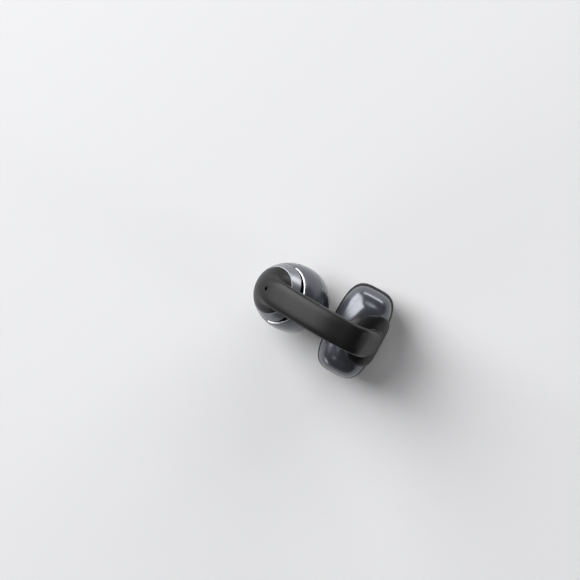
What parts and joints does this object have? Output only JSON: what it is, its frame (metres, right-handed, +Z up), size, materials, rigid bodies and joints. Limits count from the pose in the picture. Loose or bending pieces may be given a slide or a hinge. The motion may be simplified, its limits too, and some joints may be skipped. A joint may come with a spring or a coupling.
{
  "type": "ear-clip headphone",
  "caption": "Ear-clip bone conduction headphone: a round front pod and a long rear pod joined by a springy rubber-covered bridge.",
  "frame": {"origin": "on the ground below the middle of the clip, as it stands on the ends of its two pods", "axes": "+Z up, towards the bridge's arch; +X from the front pod to the rear pod; +Y along the rear pod; the clip is symmetric about the plane Y = 0 apart from its electronics"},
  "size_m": [0.027, 0.0184, 0.0235],
  "materials": {
    "soft_black": "soft-touch matte silicone",
    "gunmetal_gloss": "glossy gunmetal lacquer",
    "pale_grey_gloss": "glossy pale grey lacquer",
    "chrome": "polished",
    "mesh_black": "black woven wire",
    "dark_plastic": "moulded matte",
    "steel": "machined",
    "nickel": "nickel plated",
    "copper": "enamelled copper wire",
    "gold": "gold plated",
    "board": "green solder mask",
    "chip": "moulded matte",
    "film": "amber polyimide film",
    "cell": "satin",
    "seal": "matte"
  },
  "bodies": {
    "rear_pod": {"rear_shell_upper": "gunmetal_gloss", "rear_shell_lower": "gunmetal_gloss", "rear_shell_seal": "seal", "charge_contact_1": "gold", "charge_contact_2": "gold", "battery_cell": "cell", "battery_cradle": "dark_plastic", "battery_terminal": "nickel", "main_board": "board", "radio_chip": "chip", "power_chip": "chip", "memory_chip": "chip", "motion_sensor": "chip", "clock_crystal": "nickel", "flex_connector": "dark_plastic", "antenna": "copper", "contact_flex": "film", "case_magnet": "nickel", "rear_strip_anchor": "steel", "rear_anchor_screw_1": "steel", "rear_anchor_screw_2": "steel", "bridge_sleeve_rear": "soft_black", "bridge_spring_strip": "nickel", "bridge_flex_cable": "film"},
    "front_pod": {"front_shell_upper": "gunmetal_gloss", "neck_collar": "pale_grey_gloss", "front_shell_lower": "gunmetal_gloss", "skin_contact_pad": "soft_black", "front_shell_seal": "seal", "vent_trim": "chrome", "vent_mesh": "mesh_black", "transducer_frame": "dark_plastic", "vibration_post": "steel", "coil_former": "film", "voice_coil": "copper", "suspension_spring": "nickel", "spring_clamp_ring": "steel", "front_board": "board", "front_board_connector": "chip", "front_strip_anchor": "steel", "front_anchor_screw_1": "steel", "front_anchor_screw_2": "steel", "bridge_sleeve_front": "soft_black", "microphone": "chip", "microphone_mesh": "mesh_black"},
    "transducer_mass": {"transducer_yoke": "steel", "transducer_magnet": "nickel", "pole_plate": "steel", "spring_rivet": "steel"}
  },
  "joints": [
    {"name": "bridge_flex", "type": "hinge", "parent": "rear_pod", "child": "front_pod", "pos_m": [0.0023, 0, 0.02305], "axis": [0, 1, 0], "range_deg": [-2, 20], "stiffness_Nm_per_rad": 0.05, "deforming": ["bridge_spring_strip", "bridge_flex_cable"]},
    {"name": "transducer_travel", "type": "slide", "parent": "front_pod", "child": "transducer_mass", "axis": [-0.6691, 0, 0.7431], "range_m": [-0.0001, 0.0001], "stiffness_N_per_m": 80, "deforming": ["suspension_spring"]}
  ]
}
